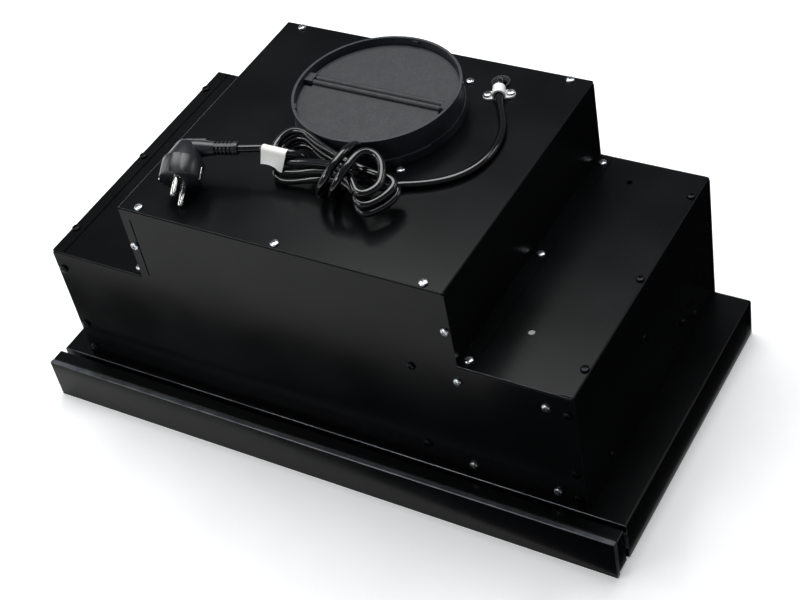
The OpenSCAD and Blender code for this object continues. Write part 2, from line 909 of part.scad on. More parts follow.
// Hollow beam behind the front plate, open below
module front_beam() {
    color(black_coat) translate([0, beam_y + beam_d / 2, beam_z]) {
        along_x(-half_w, half_w) channel_section(beam_d, fascia_h - 1 - beam_z);
        for (x = [-half_w, half_w - sheet])
            along_x(x, x + sheet) bent_outline(beam_d, fascia_h - 1 - beam_z, bend_r);
    }
}

// Front plate with eased edges
module fascia_plate() {
    e = 0.6;
    color("#1c1e20") along_x(-half_w, half_w) polygon([[front_y, e], [front_y + e, 0],
        [beam_y, 0], [beam_y, fascia_h], [front_y + e, fascia_h], [front_y, fascia_h - e]]);
}

// Tray that pulls out from under the casing, with openings for its filter and lamps
module pullout_tray() {
    y1 = tray_y + tray_d;
    color(black_coat) difference() {
        block([-tray_half, tray_y, tray_z], [tray_half, y1, tray_z + tray_h]);
        block([-tray_half + tray_wall, tray_y + tray_wall, tray_z + tray_wall],
            [tray_half - tray_wall, y1 - tray_wall, tray_z + tray_h + cut]);
        block([-tray_window_x, tray_window_y[0], tray_z - cut],
            [tray_window_x, tray_window_y[1], tray_z + tray_wall + cut]);
        for (s = [-1, 1]) translate([s * lamp_x, lamp_y, tray_z - cut])
            cylinder(h = tray_wall + 2 * cut, r = lamp_r + 0.2);
    }
}

// Fixed rail: a lipped channel on the lower casing's side wall
module rail_fixed() {
    x1 = half_w - sheet;
    x0 = x1 - rail_gap + 4;
    color(steel) difference() {
        block([x0, rail_y, rail_z], [x1, rail_y + rail_l, rail_z + rail_h]);
        block([x0 + rail_t, rail_y - cut, rail_z + rail_t],
            [x1 - rail_t, rail_y + rail_l + cut, rail_z + rail_h - rail_t]);
        block([x0 - cut, rail_y - cut, rail_z + rail_t + rail_lip],
            [x0 + 2 * rail_t, rail_y + rail_l + cut, rail_z + rail_h - rail_t - rail_lip]);
    }
}

// Moving rail: a rib on the tray's side that runs inside the fixed rail
module rail_moving() {
    x1 = half_w - sheet - rail_t - rail_play;
    x0 = half_w - sheet - rail_gap + 4 + rail_t + rail_play;
    low = rail_z + rail_t + rail_play;
    high = rail_z + rail_h - rail_t - rail_play;
    neck = rail_lip + rail_play;
    y0 = rail_y + rail_foot;
    color(zinc) difference() {
        union() {
            block([x0, y0, low], [x1, y0 + rail_moving_l, high]);
            block([tray_half, y0, low + neck], [x0 + cut, y0 + rail_moving_l, high - neck]);
        }
        block([x1 - 4, y0 - cut, low + rail_t], [x1 + cut, y0 + rail_moving_l + cut, high - rail_t]);
    }
}

module rail_fixed_right() {
    rail_fixed();
}

module rail_fixed_left() {
    mirror([1, 0, 0]) rail_fixed();
}

module rail_moving_right() {
    rail_moving();
}

module rail_moving_left() {
    mirror([1, 0, 0]) rail_moving();
}

// Frame ring of a filter, its low corner at z = 0
module filter_ring(low, high, bar, h) {
    difference() {
        block([low.x, low.y, 0], [high.x, high.y, h]);
        block([low.x + bar, low.y + bar, -cut], [high.x - bar, high.y - bar, h + cut]);
    }
}

// Slotted grille of a filter, nx by ny slots
module filter_grille(low, high, h, nx, ny) {
    step_x = (high.x - low.x - slot_gap) / nx;
    step_y = (high.y - low.y - slot_gap) / ny;
    linear_extrude(h) difference() {
        translate(low) square(high - low);
        for (i = [0:nx - 1], j = [0:ny - 1])
            translate([low.x + slot_gap + i * step_x, low.y + slot_gap + j * step_y])
                square([step_x - slot_gap, step_y - slot_gap]);
    }
}

tray_ring_low = [-tray_window_x - tray_filter_margin, tray_window_y[0] - tray_filter_margin];
tray_ring_high = [tray_window_x + tray_filter_margin, tray_window_y[1] + tray_filter_margin];
tray_bar = filter_bar - 2;

module tray_filter_frame() {
    color(alloy) translate([0, 0, tray_z + tray_wall])
        filter_ring(tray_ring_low, tray_ring_high, tray_bar, tray_filter_h);
}

module tray_filter_mesh() {
    inset = [tray_bar, tray_bar];
    color(alloy) translate([0, 0, tray_z + tray_wall + tray_filter_h / 2])
        filter_grille(tray_ring_low + inset, tray_ring_high - inset, mesh_t, 24, 3);
}

filter_low = [filter_x0, filter_y0];
filter_high = [filter_x1, filter_y1];
latch_x = (filter_x0 + filter_x1) / 2;

// Fixed filter's frame, with a pocket for its latch
module filter_frame() {
    pocket_w = latch_w + 2 * latch_play;
    color(alloy) difference() {
        translate([0, 0, filter_z]) filter_ring(filter_low, filter_high, latch_pocket_d, filter_t);
        block([latch_x - pocket_w / 2, filter_y0 - cut, filter_z - cut],
            [latch_x + pocket_w / 2, filter_y0 + latch_d + latch_travel + latch_play,
            filter_z + latch_t + 2 * latch_play]);
    }
}

latch_pocket_d = latch_d + latch_travel + latch_play + latch_wall - latch_reach;

module filter_mesh() {
    inset = [latch_pocket_d, latch_pocket_d];
    color(alloy) translate([0, 0, filter_z + mesh_z])
        filter_grille(filter_low + inset, filter_high - inset, mesh_t, 10, 5);
}

// Sliding latch with a finger tab below and a bolt that reaches into the ledge
module filter_latch() {
    z0 = filter_z + latch_play;
    y0 = ledge_front - latch_reach + 1;
    tab_y = filter_y0 + 3;
    color(dark_plastic) {
        block([latch_x - latch_w / 2, y0, z0], [latch_x + latch_w / 2, filter_y0 + latch_d - 1,
            z0 + latch_t]);
        block([latch_x - latch_w / 3, tab_y, z0 - latch_tab_h],
            [latch_x + latch_w / 3, tab_y + latch_tab_t, z0 + cut]);
    }
}

module filter_frame_right() {
    filter_frame();
}

module filter_frame_left() {
    mirror([1, 0, 0]) filter_frame();
}

module filter_mesh_right() {
    filter_mesh();
}

module filter_mesh_left() {
    mirror([1, 0, 0]) filter_mesh();
}

module filter_latch_right() {
    filter_latch();
}

module filter_latch_left() {
    mirror([1, 0, 0]) filter_latch();
}

// Lamp housing: a cup in the tray's floor with a bezel below it
module lamp_body() {
    bezel_t = 1;
    top = tray_z + lamp_cup_h;
    color(dark_plastic) translate([lamp_x, lamp_y, 0]) {
        translate([0, 0, tray_z - bezel_t]) ring(lamp_r + lamp_flange, lamp_r - lamp_wall, bezel_t);
        difference() {
            translate([0, 0, tray_z - bezel_t / 2])
                cylinder(h = lamp_cup_h + bezel_t / 2, r = lamp_r);
            translate([0, 0, tray_z - bezel_t])
                cylinder(h = lamp_cup_h + bezel_t - lamp_wall, r = lamp_r - lamp_wall);
        }
    }
}

module lamp_lens() {
    color("#f2f0e6") translate([lamp_x, lamp_y, tray_z])
        cylinder(h = lens_t, r = lamp_r - lamp_wall - 0.02);
}

module lamp_body_right() {
    lamp_body();
}

module lamp_body_left() {
    mirror([1, 0, 0]) lamp_body();
}

module lamp_lenses() {
    for (s = [0, 1]) mirror([s, 0, 0]) lamp_lens();
}

control_y = beam_y + beam_d / 2;

// Plate under the beam, with a slot for each slider
module control_plate() {
    half_d = beam_d / 2 - sheet;
    slot_d = stem_d + 2 * stem_play;
    color(dark_plastic) difference() {
        block([control_x0, control_y - half_d, beam_z],
            [control_x1, control_y + half_d, beam_z + plate_t]);
        for (p = [[speed_x, speed_travel], [light_x, light_travel]])
            block([p[0] - stem_d / 2 - stem_play, control_y - slot_d / 2, beam_z - cut],
                [p[0] + p[1] + stem_d / 2 + stem_play, control_y + slot_d / 2,
                beam_z + plate_t + cut]);
    }
}

// Knob below the plate, stem through its slot and foot above it
module slider(x) {
    top = beam_z + plate_t + ease;
    color("#3a3c3e") {
        block([x - knob_w / 2, control_y - knob_d / 2, knob_z],
            [x + knob_w / 2, control_y + knob_d / 2, beam_z - ease]);
        block([x - stem_d / 2, control_y - stem_d / 2, knob_z + cut],
            [x + stem_d / 2, control_y + stem_d / 2, top + foot_t / 2]);
        block([x - knob_w / 3, control_y - knob_d / 2, top],
            [x + knob_w / 3, control_y + knob_d / 2, top + foot_t]);
    }
}

module speed_slider() {
    slider(speed_x);
}

module light_slider() {
    slider(light_x);
}

// Switch that the tray's back wall works, on the bracket of the lower casing
module microswitch() {
    x0 = switch_bracket_x + sheet;
    color(dark_plastic) difference() {
        block([x0, switch_y, switch_z], [x0 + switch_w, switch_y + switch_d, switch_z + switch_h]);
        translate([x0 + switch_w / 2, switch_y - cut, switch_z + switch_h / 2])
            rotate([-90, 0, 0])
                cylinder(h = plunger_l + plunger_travel + cut, r = plunger_r + plunger_play);
    }
}

module switch_plunger() {
    x0 = switch_bracket_x + sheet;
    color("#b33a2e")
        translate([x0 + switch_w / 2, switch_y + plunger_l - ease, switch_z + switch_h / 2])
            rotate([90, 0, 0]) cylinder(h = plunger_l + switch_gap - 2 * ease, r = plunger_r);
}

// Outline of the scroll in Y and Z, grown by the wall where asked
function scroll_r(a) = scroll_start_r
    + (scroll_end_r - scroll_start_r) * (a - scroll_start_a) / (360 - scroll_start_a);
function scroll_points(grow, top) = let (
    spiral = [for (i = [0:scroll_steps])
        let (a = scroll_start_a + (360 - scroll_start_a) * i / scroll_steps)
        [wheel_y + (scroll_r(a) + grow) * cos(a), wheel_z + (scroll_r(a) + grow) * sin(a)]],
    duct_y = spiral[0].x)
    concat(spiral, [[wheel_y + scroll_end_r + grow, top], [duct_y, top]]);

module scroll_shell() {
    color(zinc) difference() {
        along_x(-scroll_w / 2, scroll_w / 2) polygon(scroll_points(scroll_wall, scroll_top));
        along_x(-scroll_w / 2 - cut, scroll_w / 2 + cut)
            polygon(scroll_points(0, scroll_top + cut));
    }
}

// Side plate of the scroll with its round inlet and inward neck
module scroll_side() {
    x0 = scroll_w / 2;
    color(zinc) {
        difference() {
            along_x(x0, x0 + scroll_wall) polygon(scroll_points(scroll_wall, scroll_top));
            translate([x0 - cut, wheel_y, wheel_z]) rotate([0, 90, 0])
                cylinder(h = scroll_wall + 2 * cut, r = inlet_r, $fn = 72);
        }
        translate([x0 - neck_l, wheel_y, wheel_z]) rotate([0, 90, 0])
            ring(inlet_r + neck_t, inlet_r, neck_l + scroll_wall / 2, $fn = 72);
    }
}

module scroll_side_right() {
    scroll_side();
}

module scroll_side_left() {
    mirror([1, 0, 0]) scroll_side();
}

motor_x = -scroll_w / 2 - scroll_wall;

// Motor can inside the left half of the wheel, with a bore for its shaft
module motor() {
    color(steel) translate([motor_x, wheel_y, wheel_z]) rotate([0, 90, 0]) difference() {
        union() {
            cylinder(h = motor_l - 3, r = motor_r);
            cylinder(h = motor_l, r = motor_r * 0.45);
        }
        translate([0, 0, 10]) cylinder(h = motor_l, r = shaft_r + 0.05);
    }
}

// Bracket that holds the motor across the left inlet
module motor_bracket() {
    color(zinc) translate([motor_x - bracket_t, wheel_y, wheel_z]) rotate([0, 90, 0]) {
        cylinder(h = bracket_t, r = motor_r);
        for (a = [45:90:315]) rotate(a) translate([0, -bracket_arm_w / 2, 0])
            cube([bracket_reach, bracket_arm_w, bracket_t]);
    }
}

shaft_end = 22;

module motor_shaft() {
    color(steel) translate([motor_x + 11, wheel_y, wheel_z]) rotate([0, 90, 0])
        cylinder(h = shaft_end - motor_x - 11, r = shaft_r);
}

// Wheel with forward-curved blades, end rings, a middle disc and a hub
module impeller() {
    hub_l = 20;
    color(dark_plastic) translate([0, wheel_y, wheel_z]) rotate([0, 90, 0]) {
        for (z = [-wheel_l / 2, wheel_l / 2 - end_ring_t])
            translate([0, 0, z]) ring(wheel_r, wheel_r - end_ring_w, end_ring_t, $fn = 72);
        ring(wheel_r - end_ring_w / 2, shaft_r, disc_t, $fn = 72);
        ring(hub_r, shaft_r, hub_l);
        for (i = [0:blade_count - 1]) rotate(360 * i / blade_count)
            translate([wheel_r - 1.5, 0, -wheel_l / 2 + end_ring_t / 2]) rotate(180 - blade_turn)
                cube([blade_w, blade_t, wheel_l - end_ring_t]);
    }
}

// Housing of the electrics, open towards the back
module control_box() {
    y0 = body_y + sheet;
    color(dark_plastic) difference() {
        block([box_x, y0, box_z], [box_x + box_w, y0 + box_d, box_z + box_h]);
        block([box_x + box_wall, y0 + box_wall, box_z + box_wall],
            [box_x + box_w - box_wall, y0 + box_d + cut, box_z + box_h - box_wall]);
        at_box() shank_hole();
    }
}

// Motor capacitor on the floor of the control box
module capacitor() {
    cap_r = 15;
    cap_l = 60;
    color(alloy) translate([box_x + box_w / 2, body_y + sheet + box_wall + cap_r + ease,
        box_z + box_wall]) {
        cylinder(h = cap_l, r = cap_r);
        for (s = [-1, 1]) translate([s * 5, 0, cap_l - cut]) cylinder(h = 5 + cut, r = 1.6);
    }
}

// Tube swept along part of the route
module tube(first, last, steps, sides) {
    p = curve(first, last, steps);
    t = slopes(first, last, steps);
    n = len(p);
    start = unit(cross(t[0], [0.3, 0.5, 0.81]));
    side = [for (i = 0, v = start; i < n; i = i + 1,
        v = i < n ? unit(v - (v * t[i]) * t[i]) : v) v];
    rings = [for (i = [0:n - 1], j = [0:sides - 1])
        p[i] + cord_d / 2 * (cos(360 * j / sides) * side[i]
        + sin(360 * j / sides) * cross(t[i], side[i]))];
    walls = [for (i = [0:n - 2], j = [0:sides - 1], k = [0, 1])
        let (a = i * sides + j, b = i * sides + (j + 1) % sides)
        k == 0 ? [a, b + sides, b] : [a, a + sides, b + sides]];
    caps = [for (j = [1:sides - 2], k = [0, 1]) let (e = (n - 1) * sides)
        k == 0 ? [0, j, j + 1] : [e, e + j + 1, e + j]];
    polyhedron(rings, concat(walls, caps));
}

module cord_lead() {
    color(cable_black) tube(1, knot_in, 1, 8);
}

// Outer shape of the knot, with the ends of the cable that go into it
module cord_hank() {
    color(cable_black) {
        for (step = knot_steps) translate([0, 0, tower_h + knot_ease])
            linear_extrude(step[2] - knot_ease) intersection() {
                knot_outline();
                translate([step[0], -100]) square([step[1] - step[0], 100]);
            }
        tube(knot_in, knot_inside, 1, 8);
        tube(tail_inside, knot_out, 1, 8);
    }
}

module knot_outline() {
    difference() {
        hull() {
            translate(knot_left) circle(knot_left_r);
            translate(knot_right) circle(knot_right_r);
        }
        translate([0, collar_y]) circle(collar_r + knot_collar_gap);
    }
}

module cord_tail() {
    color(cable_black) tube(knot_out, route_last, 1, 8);
}

module cable_label() {
    wrap_r = cord_d / 2 + label_ease;
    color("#eceae4") {
        translate([label_wrap[0], label_at.y, label_at.z]) rotate([0, 90, 0])
            ring(wrap_r + label_t, wrap_r, label_wrap[1] - label_wrap[0], $fn = 32);
        translate([0, label_at.y, label_at.z]) rotate([-label_lean, 0, 0])
            along_y(-wrap_r - label_t, -wrap_r) polygon(label_corners);
    }
}

// Plug's own frame: pins along +Z from its face, cable out along +X
module plug_frame() {
    translate([plug_face.x, plug_face.y, tower_h + plug_r * cos(plug_tilt)])
        rotate([0, 0, plug_yaw]) rotate([90 + plug_tilt, 0, 0]) children();
}

// Round angled plug with a grip ridge and a slotted strain relief
module plug_body() {
    back_h = plug_neck + relief_r;
    slot_pitch = (relief_end - relief_start - 6) / relief_slots;
    color(cable_black) plug_frame() difference() {
        union() {
            rotate_extrude($fn = 64) polygon([[0, 0], [plug_r - 1, 0], [plug_r, -1],
                [plug_r, -plug_rim_h + 2], [plug_r - 2, -plug_rim_h], [plug_r - 9.5, -back_h + 1],
                [plug_r - 10.5, -back_h], [0, -back_h]]);
            translate([0, 0, -plug_neck]) rotate([0, 90, 0])
                cylinder(h = relief_start + cut, r1 = 8.6, r2 = relief_r + 0.4);
            translate([relief_start, 0, -plug_neck]) rotate([0, 90, 0])
                cylinder(h = relief_end - relief_start, r1 = relief_r, r2 = relief_tip_r);
            translate([grip_x, -2.5, -back_h - 3]) cube([grip_l, 5, 6]);
        }
        for (i = [0:relief_slots - 1])
            translate([relief_start + 3 + i * slot_pitch, 0, -plug_neck]) rotate([0, 90, 0])
                ring(relief_r + 3, cord_d / 2 + 0.8, slot_pitch * 0.45);
        for (s = [-1, 1]) translate([s > 0 ? plug_r - clip_t : -plug_r - cut, -clip_w / 2 - 0.05,
            -clip_l]) cube([clip_t + cut, clip_w + 0.1, clip_l + cut]);
    }
}

module plug_pins() {
    tip = 1;
    color(zinc) plug_frame() for (s = [-1, 1]) translate([0, s * pin_pitch / 2, 0]) {
        cylinder(h = pin_len - tip, r = pin_d / 2);
        translate([0, 0, pin_len - tip])
            cylinder(h = tip, r1 = pin_d / 2, r2 = pin_d / 2 - tip);
    }
}

module plug_earth_clips() {
    color(zinc) plug_frame() for (s = [-1, 1])
        translate([s > 0 ? plug_r - clip_t + 0.05 : -plug_r + 0.2, -clip_w / 2, -clip_l])
            cube([clip_t - 0.25, clip_w, clip_l]);
}

base_frame();
filter_ledges();
front_panel();
rear_panel();
side_panel_left();
side_panel_right();
shoulder_plate_left();
shoulder_plate_right();
tower_cover();
collar_plate();
duct_collar();
flap_front();
flap_rear();
flap_rods();
cable_grommet();
cable_clamp();
clamp_screws();
top_screws();
front_screws();
shoulder_screws();
black_screws();
front_beam();
fascia_plate();
pullout_tray();
rail_fixed_left();
rail_fixed_right();
rail_moving_left();
rail_moving_right();
tray_filter_frame();
tray_filter_mesh();
filter_frame_left();
filter_frame_right();
filter_mesh_left();
filter_mesh_right();
filter_latch_left();
filter_latch_right();
lamp_body_left();
lamp_body_right();
lamp_lenses();
control_plate();
speed_slider();
light_slider();
microswitch();
switch_plunger();
scroll_shell();
scroll_side_left();
scroll_side_right();
motor();
motor_bracket();
motor_shaft();
impeller();
capacitor();
control_box();
cord_lead();
cord_hank();
cord_tail();
cable_label();
plug_body();
plug_pins();
plug_earth_clips();
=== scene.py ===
"""Looks of a built-in telescopic range hood: black casing, duct collar, knotted mains cable."""
import json
import math

import bmesh
import bpy
from mathutils import Matrix, Vector


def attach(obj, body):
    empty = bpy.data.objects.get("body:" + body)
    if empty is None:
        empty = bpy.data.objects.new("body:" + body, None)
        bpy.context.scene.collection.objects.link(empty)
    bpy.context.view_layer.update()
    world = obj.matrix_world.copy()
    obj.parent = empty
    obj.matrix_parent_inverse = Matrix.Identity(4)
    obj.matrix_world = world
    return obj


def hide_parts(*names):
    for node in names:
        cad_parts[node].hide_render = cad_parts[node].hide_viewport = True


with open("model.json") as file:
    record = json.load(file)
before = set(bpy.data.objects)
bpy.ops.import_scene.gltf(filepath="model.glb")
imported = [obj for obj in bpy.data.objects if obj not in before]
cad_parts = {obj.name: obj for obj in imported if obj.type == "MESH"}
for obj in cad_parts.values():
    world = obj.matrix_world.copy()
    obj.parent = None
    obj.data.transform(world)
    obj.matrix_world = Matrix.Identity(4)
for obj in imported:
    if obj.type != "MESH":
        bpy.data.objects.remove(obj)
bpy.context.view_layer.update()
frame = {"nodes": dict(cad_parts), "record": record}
scene = bpy.context.scene
cad = frame["nodes"]
MM = 0.001

# Main sizes of the casing in millimetres, as in the part's source
BODY_FRONT = -128
HALF_BODY = 264
FLANGE_TOP = 182
TOWER_TOP = 263

# Front plate in metres, lower and upper corner
PLATE_LOW = (-0.299, -0.154, 0)
PLATE_HIGH = (0.299, -0.149, 0.045)

# Widths of broken edges in metres
SHEET_EDGE = 0.0006
PLATE_EDGE = 0.0007


# Camera
def place_camera():
    """Studio camera on a long lens, turned a little on its side."""
    data = bpy.data.cameras.new("studio_camera")
    data.sensor_width = 36
    data.lens = 77.16
    data.clip_start = 0.05
    data.clip_end = 50
    camera = bpy.data.objects.new("studio_camera", data)
    scene.collection.objects.link(camera)
    turn = math.radians(37.71)
    rise = math.radians(42.824)
    roll = math.radians(-12.496)
    back = Vector((math.sin(turn) * math.cos(rise), -math.cos(turn) * math.cos(rise),
                   math.sin(rise)))
    level = Vector((math.cos(turn), math.sin(turn), 0))
    steep = back.cross(level)
    right = math.cos(roll) * level + math.sin(roll) * steep
    up = math.cos(roll) * steep - math.sin(roll) * level
    aim = Vector((0.01116, 0.010, 0.08036))
    distance = 1.59974
    frame_axes = Matrix((right, up, back)).transposed().to_4x4()
    camera.matrix_world = Matrix.Translation(aim + distance * back) @ frame_axes
    scene.camera = camera


place_camera()

# Cable route, as control points of one smooth curve, in millimetres
# Out of the bush, through the clamp and round the collar, as in the part's source
LEAD_POINTS = [(82.5, 129, 244), (82.5, 129, 250), (82.5, 129, 256), (82.6, 128.6, 262),
    (83.4, 125.4, 268), (85.4, 119.6, 269.4), (87.6, 114.8, 267.6), (89.7, 110.3, 267.6),
    (91.8, 105.8, 267.5), (97, 96, 266.8), (104, 86, 266.6), (113, 72, 266.6), (119.5, 55, 266.6),
    (121.5, 38, 266.6), (120, 22, 266.6), (115.5, 8, 266.6), (107, -4, 266.6), (95.5, -14, 266.6),
    (83, -21, 266.6), (71, -26, 266.6), (61, -31, 268)]
# From the last loop up over the bundle
OVER_POINTS = [(67, -50, 293), (61, -38, 298), (51, -32, 301)]
# Out below the bundle, up through the label and straight into the plug's strain relief
TAIL_POINTS = [(11, -59, 268), (9, -52, 266.6), (5, -46, 266.6), (-1, -41.5, 267),
    (-8, -39.5, 270), (-13, -39, 276), (-17, -39.5, 283), (-22, -42, 289), (-28, -45.5, 291.7),
    (-33, -47.4, 291.7), (-38, -47.4, 291.7), (-46, -47.4, 291.7), (-54, -47.4, 291.7),
    (-62.6, -51.2, 291.7), (-73, -54.6, 291.7), (-83.5, -58, 291.7)]

# The bundle: turns of a long loop, drawn in where it is tied. After each whole turn: reach to the
# left and to the right of the tie, then how far the strands spread left above, left below, right
TURNS = [(77, 49, 55, 70, 60), (77, 49, 55, 70, 60), (80, 47, 54, 54, 58), (81, 42, 52, 36, 46)]
BUNDLE_AT = (30, -45)
FIRST_LAYER = 268.1
LAYER = 7.75
STEPS = 18
WAIST = 6
WAIST_LIFT = 5.2
LEFT_TILT, RIGHT_TILT = math.radians(-9.5), math.radians(-23)
LEFT_RISE = 0.35
LOWER_DROP = 8

# The tie: turns across the bundle, from its top to its foot
TIE_AT = (36, -45, 285.6)
TIE_HALF = (28, 20.3)
TIE_PITCH = 12
TIE_SLANT = 0.4


def bundle_point(turn):
    """Place on the long loop after some turns, a layer higher after each."""
    whole = min(int(turn), len(TURNS) - 2)
    left, right, left_top, left_low, right_side = (
        low + (high - low) * (turn - whole) for low, high in zip(TURNS[whole], TURNS[whole + 1]))
    along, across = math.cos(2 * math.pi * turn), math.sin(2 * math.pi * turn)
    height = FIRST_LAYER + LAYER * turn + WAIST_LIFT * across ** 2
    if along < 0:
        spread = left_low if across < 0 else left_top
    else:
        spread = right_side
    out = (left if along < 0 else right) * along
    side = (WAIST + (spread - WAIST) * abs(along) ** 3) * across
    if along < 0 and across < 0:
        height -= LOWER_DROP * (2 * along * across) ** 2
    elif along < 0:
        height += LEFT_RISE * side * along ** 2
    tilt = LEFT_TILT if along < 0 else RIGHT_TILT
    return (BUNDLE_AT[0] + out * math.cos(tilt) - side * math.sin(tilt),
            BUNDLE_AT[1] + out * math.sin(tilt) + side * math.cos(tilt), height)


def tie_point(turn):
    """Place on the tie; a quarter turn is its top, a half turn its front."""
    angle = 2 * math.pi * turn
    rise = TIE_HALF[1] * math.sin(angle)
    return (TIE_AT[0] - TIE_PITCH * turn + TIE_SLANT * rise,
            TIE_AT[1] + TIE_HALF[0] * math.cos(angle), TIE_AT[2] + rise)


BUNDLE_POINTS = [bundle_point(step / STEPS) for step in range(3, 3 * STEPS + 1)]
TIE_POINTS = [tie_point(0.1 * step) for step in range(2, 17)]
CABLE_RADIUS = 0.0035

route = [Vector(p) for p in
         LEAD_POINTS + BUNDLE_POINTS + OVER_POINTS + TIE_POINTS + TAIL_POINTS]


def lay_cable():
    """Cable as one round tube along the route."""
    line = bpy.data.curves.new("mains_cable", "CURVE")
    line.dimensions = "3D"
    line.resolution_u = 8
    line.bevel_depth = 1  # times each point's radius
    line.bevel_resolution = 5
    line.use_fill_caps = True
    spline = line.splines.new("NURBS")
    spline.points.add(len(route) - 1)
    for point, place in zip(spline.points, route):
        point.co = (*(place * MM), 1)
        point.radius = CABLE_RADIUS
    spline.order_u = 4
    spline.use_endpoint_u = False
    cable = bpy.data.objects.new("mains_cable", line)
    scene.collection.objects.link(cable)
    return cable


cable = lay_cable()


# Shading helpers
def colour(code):
    """Linear colour of an sRGB hex code."""
    parts = [int(code[i:i + 2], 16) / 255 for i in (1, 3, 5)]
    return (*(p / 12.92 if p <= 0.04045 else ((p + 0.055) / 1.055) ** 2.4 for p in parts), 1)


def add(tree, kind, inputs=None, **fields):
    """Adds a node, sets its fields, and fills its inputs with values or other nodes' outputs."""
    made = tree.nodes.new(kind)
    for name, value in fields.items():
        setattr(made, name, value)
    for name, value in (inputs or {}).items():
        if isinstance(value, bpy.types.NodeSocket):
            tree.links.new(value, made.inputs[name])
        else:
            made.inputs[name].default_value = value
    return made


def blank(name):
    """Empty material with its output, tree and object coordinates."""
    material = bpy.data.materials.new(name)
    material.use_nodes = True
    tree = material.node_tree
    tree.nodes.clear()
    place = add(tree, "ShaderNodeTexCoord").outputs["Object"]
    return material, tree, place


def close(tree, shader):
    add(tree, "ShaderNodeOutputMaterial", {"Surface": shader.outputs["BSDF"]})


def grain(tree, place, size_mm, detail=2.0, rough=0.5):
    """Noise whose features are about size_mm across."""
    return add(tree, "ShaderNodeTexNoise", {
        "Vector": place, "Scale": 1000 / size_mm, "Detail": detail, "Roughness": rough
    }).outputs["Fac"]


# Middle range of the noise, where it drifts from one value to the other
NOISE_LOW, NOISE_HIGH = 0.35, 0.65


def between(tree, factor, low, high):
    """Value that drifts from low to high as the noise goes through its middle range."""
    return add(tree, "ShaderNodeMapRange", {
        "Value": factor, "From Min": NOISE_LOW, "From Max": NOISE_HIGH,
        "To Min": low, "To Max": high
    }).outputs["Result"]


def two_tone(tree, factor, dark, light):
    """Colour that drifts from dark to light over the noise."""
    ramp_node = add(tree, "ShaderNodeValToRGB", {"Fac": factor})
    ramp_node.color_ramp.elements[0].position = NOISE_LOW
    ramp_node.color_ramp.elements[1].position = NOISE_HIGH
    ramp_node.color_ramp.elements[0].color = colour(dark)
    ramp_node.color_ramp.elements[1].color = colour(light)
    return ramp_node.outputs["Color"]


def raised(tree, height, depth_mm, strength=1.0):
    """Bump from a height field of a real depth."""
    return add(tree, "ShaderNodeBump", {
        "Height": height, "Distance": depth_mm * MM, "Strength": strength}).outputs["Normal"]


def surface(name, dark, light, patch_mm, rough, grain_mm, depth_mm, **sockets):
    """Finish with patches of two close colours, drifting roughness and a fine raised grain."""
    material, tree, place = blank(name)
    patches = grain(tree, place, patch_mm, 3.0)
    fine = grain(tree, place, grain_mm, 2.0)
    inputs = {
        "Base Color": two_tone(tree, patches, dark, light),
        "Roughness": between(tree, patches, rough[0], rough[1]),
        "Normal": raised(tree, fine, depth_mm)}
    inputs.update({key.replace("_", " "): value for key, value in sockets.items()})
    close(tree, add(tree, "ShaderNodeBsdfPrincipled", inputs))
    return material


# Satin black powder coat, sprayed and baked on sheet steel: deep black with a soft mirror of the
# room. Its orange peel is about 1 mm across, drawn at 2 mm so that it shows.
powder_coat = surface("black_powder_coat", "#08090a", "#0b0c0e", 70, (0.22, 0.27), 2.0, 0.0025,
                      IOR=1.21)

# Front plate, black enamel on its face: a little smoother than the casing
front_enamel = surface("black_enamel", "#08090a", "#0a0b0d", 90, (0.2, 0.25), 3.0, 0.002, IOR=1.21)

# Chamfers of the front plate: a light steel grey, a painted highlight that draws a thin bright
# line along its edges
painted_highlight_chamfer = surface("painted_highlight_chamfer", "#54585c", "#666b70", 12, (0.28, 0.36), 0.8, 0.01,
                      Metallic=0.7)

# Chamfers of the casing's sheets: a light steel grey, a painted highlight, so that edges show as
# thin bright lines
painted_edge_highlight = surface("painted_highlight_on_edges", "#54585c", "#666b70", 30, (0.22, 0.3), 1.5, 0.003,
                    Metallic=0.7)

# Moulded ABS of the duct collar: fine satin grain from the mould
moulded_abs = surface("moulded_abs", "#23272b", "#2a2f33", 25, (0.36, 0.44), 0.9, 0.012, IOR=1.46)

# Moulded rubber bush: matt and dark
moulded_rubber = surface("moulded_rubber", "#0d0e0f", "#141516", 8, (0.5, 0.6), 0.7, 0.02, IOR=1.5)

# Natural nylon of the cable clamp: milky white, a little shine
natural_nylon = surface("natural_nylon", "#ecedeb", "#f6f6f4", 10, (0.32, 0.42), 0.9, 0.01,
                        IOR=1.53)

# Zinc plating on pressed steel: bright, slightly uneven
zinc_plate = surface("zinc_plate", "#b4b9bd", "#d6dadd", 5, (0.2, 0.34), 0.6, 0.006, Metallic=1.0)

# Black zinc on the screws of the outer edges
black_zinc = surface("black_zinc", "#16181a", "#222527", 4, (0.3, 0.4), 0.6, 0.004, Metallic=1.0)

# Drawn steel rods and the motor's shaft
drawn_steel = surface("drawn_steel", "#8d9194", "#a9adb0", 6, (0.22, 0.32), 0.5, 0.004,
                      Metallic=1.0)

# Galvanised sheet of the blower housing: pale flakes of spangle about 12 mm across
galvanised = surface("galvanised_sheet", "#5f6467", "#7b8083", 12, (0.28, 0.45), 1.5, 0.004,
                     Metallic=1.0)

# Pressed aluminium of the grease filters: soft and bright
pressed_aluminium = surface("pressed_aluminium", "#b0b3b5", "#c6c9cb", 15, (0.3, 0.42), 1.0, 0.01,
                            Metallic=1.0)

# Moulded plastic of the inner parts and of the controls
inner_plastic = surface("inner_plastic", "#191b1d", "#202225", 20, (0.4, 0.5), 1.0, 0.01, IOR=1.5)

# Motor can: lacquered steel
lacquered_steel = surface("lacquered_steel", "#55595c", "#64686b", 20, (0.35, 0.45), 1.2, 0.006,
                          Metallic=0.6)

